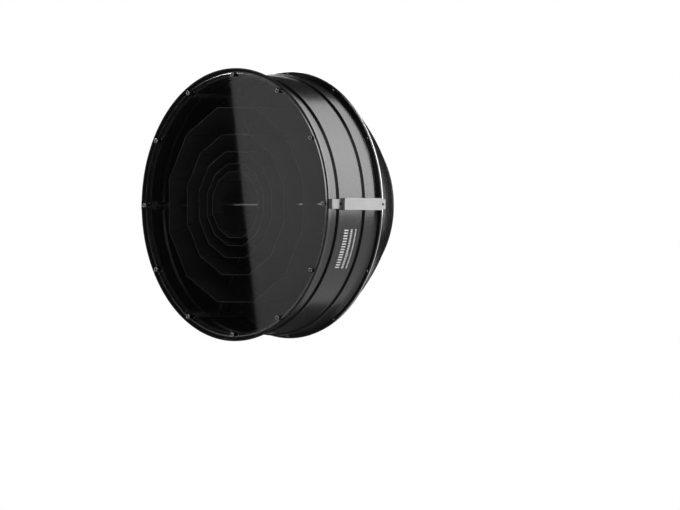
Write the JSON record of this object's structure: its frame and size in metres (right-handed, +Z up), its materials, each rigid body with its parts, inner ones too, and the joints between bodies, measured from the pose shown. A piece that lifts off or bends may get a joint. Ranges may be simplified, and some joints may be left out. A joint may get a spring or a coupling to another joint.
{
  "type": "beam hood for a studio lamp",
  "caption": "Wide round drum hood for a studio lamp, with a flat front glass, a louver of nested twelve-sided rings on cross bars, a spun bowl and a rear bayonet mount.",
  "frame": {"origin": "on the drum's axis, in the plane of the flange that seats against the lamp", "axes": "+Y along the drum's axis towards the lamp, -Y out of the front glass, +Z up, +X to the right seen from the front"},
  "size_m": [0.7028, 0.3884, 0.7],
  "materials": {
    "drum_paint": "black powder coat, semi-gloss with a fine grain",
    "bowl_paint": "smooth black coat, glossier than the drum",
    "plate_paint": "black powder coat, semi-gloss",
    "clip_paint": "satin black",
    "louver_paint": "matt black",
    "bar_paint": "matt black",
    "rail_paint": "matt black",
    "bright_ring": "bright turned edge",
    "mount_metal": "turned, satin",
    "strap_satin": "satin anodised, grey",
    "screw_steel": "bright plated",
    "front_glass": "clear flat sheet, glossy",
    "gasket_rubber": "matt black"
  },
  "bodies": {
    "root": {"front_rim": "drum_paint", "drum_shell": "drum_paint", "rear_ring": "bright_ring", "flange_screw_01": "screw_steel", "flange_screw_02": "screw_steel", "flange_screw_03": "screw_steel", "flange_screw_04": "screw_steel", "flange_screw_05": "screw_steel", "flange_screw_06": "screw_steel", "flange_screw_07": "screw_steel", "flange_screw_08": "screw_steel", "flange_screw_09": "screw_steel", "flange_screw_10": "screw_steel", "flange_screw_11": "screw_steel", "flange_screw_12": "screw_steel", "front_glass": "front_glass", "glass_gasket": "gasket_rubber", "glass_clip_01": "clip_paint", "glass_clip_02": "clip_paint", "glass_clip_03": "clip_paint", "glass_clip_04": "clip_paint", "glass_clip_05": "clip_paint", "glass_clip_06": "clip_paint", "glass_clip_07": "clip_paint", "glass_clip_08": "clip_paint", "glass_clip_09": "clip_paint", "glass_clip_10": "clip_paint", "glass_clip_11": "clip_paint", "glass_clip_12": "clip_paint", "louver_ring_01": "louver_paint", "louver_ring_02": "louver_paint", "louver_ring_03": "louver_paint", "louver_ring_04": "louver_paint", "louver_ring_05": "louver_paint", "cross_bar_01": "bar_paint", "cross_bar_02": "bar_paint", "cross_bar_03": "bar_paint", "wall_rail_01": "rail_paint", "wall_rail_02": "rail_paint", "wall_rail_03": "rail_paint", "wall_rail_04": "rail_paint", "wall_rail_05": "rail_paint", "wall_rail_06": "rail_paint", "strap_right": "strap_satin", "strap_left": "strap_satin", "grip_right": "strap_satin", "grip_left": "strap_satin", "strap_screw_right_front": "screw_steel", "strap_screw_right_rear": "screw_steel", "strap_screw_left_front": "screw_steel", "strap_screw_left_rear": "screw_steel", "rear_bowl": "bowl_paint", "mount_plate": "plate_paint", "mount_ring": "mount_metal", "mount_screw_01": "screw_steel", "mount_screw_02": "screw_steel", "mount_screw_03": "screw_steel", "mount_screw_04": "screw_steel"}
  },
  "joints": []
}
